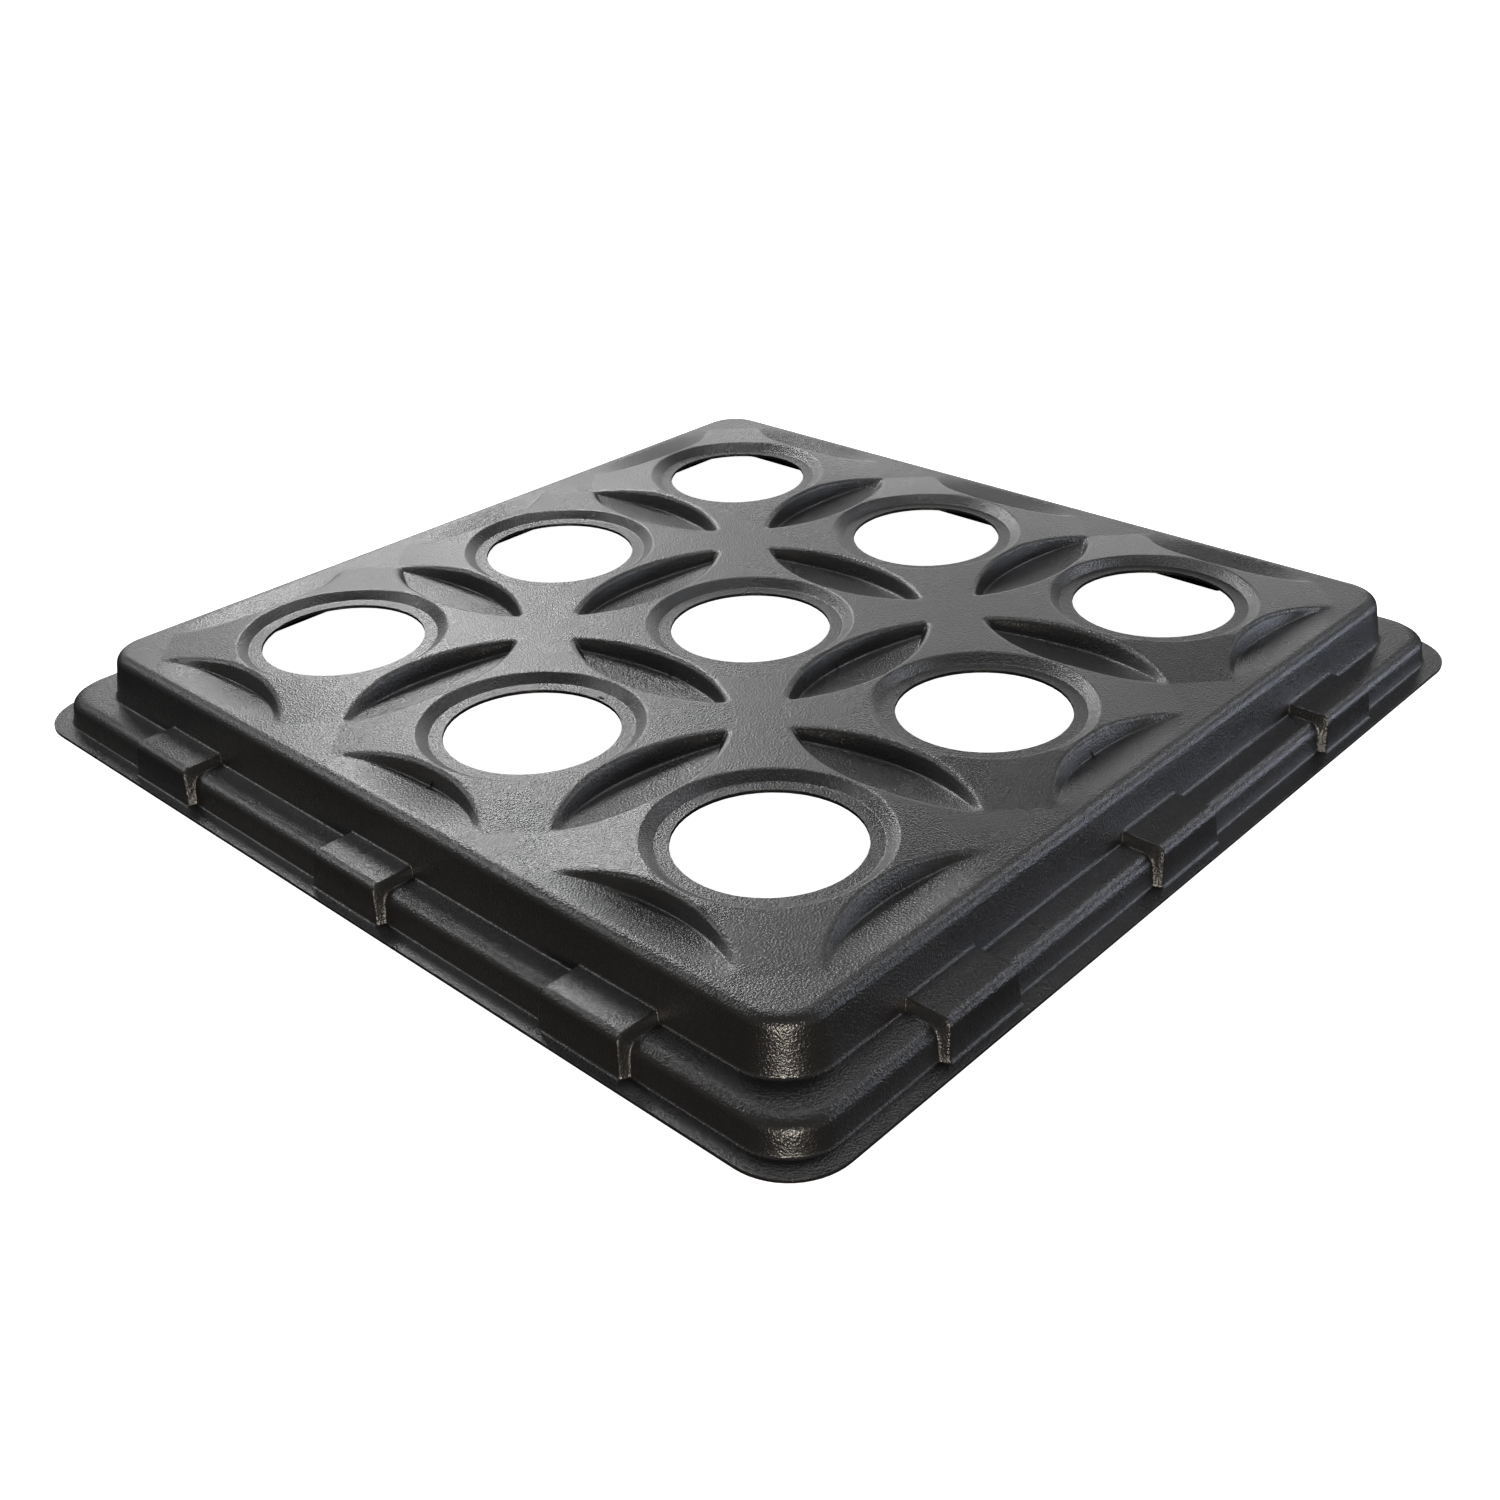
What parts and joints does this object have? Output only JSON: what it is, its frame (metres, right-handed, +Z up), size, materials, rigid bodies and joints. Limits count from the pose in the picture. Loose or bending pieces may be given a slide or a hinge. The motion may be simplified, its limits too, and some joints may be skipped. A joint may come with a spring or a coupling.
{
  "type": "nestable pallet tray",
  "caption": "Square vacuum-formed black plastic pallet tray with round holes in raised diamonds, lens pockets, a stepped skirt with stacking lugs and a flat rim.",
  "frame": {"origin": "middle of the tray's plan, on the plane that its flat rim stands on", "axes": "+Z up through the holes, +X and +Y along the two square sides"},
  "size_m": [1.21, 1.21, 0.096],
  "materials": {
    "polyethylene_sheet": "fine haircell grain, satin black"
  },
  "bodies": {
    "root": {"formed_sheet": "polyethylene_sheet"}
  },
  "joints": []
}
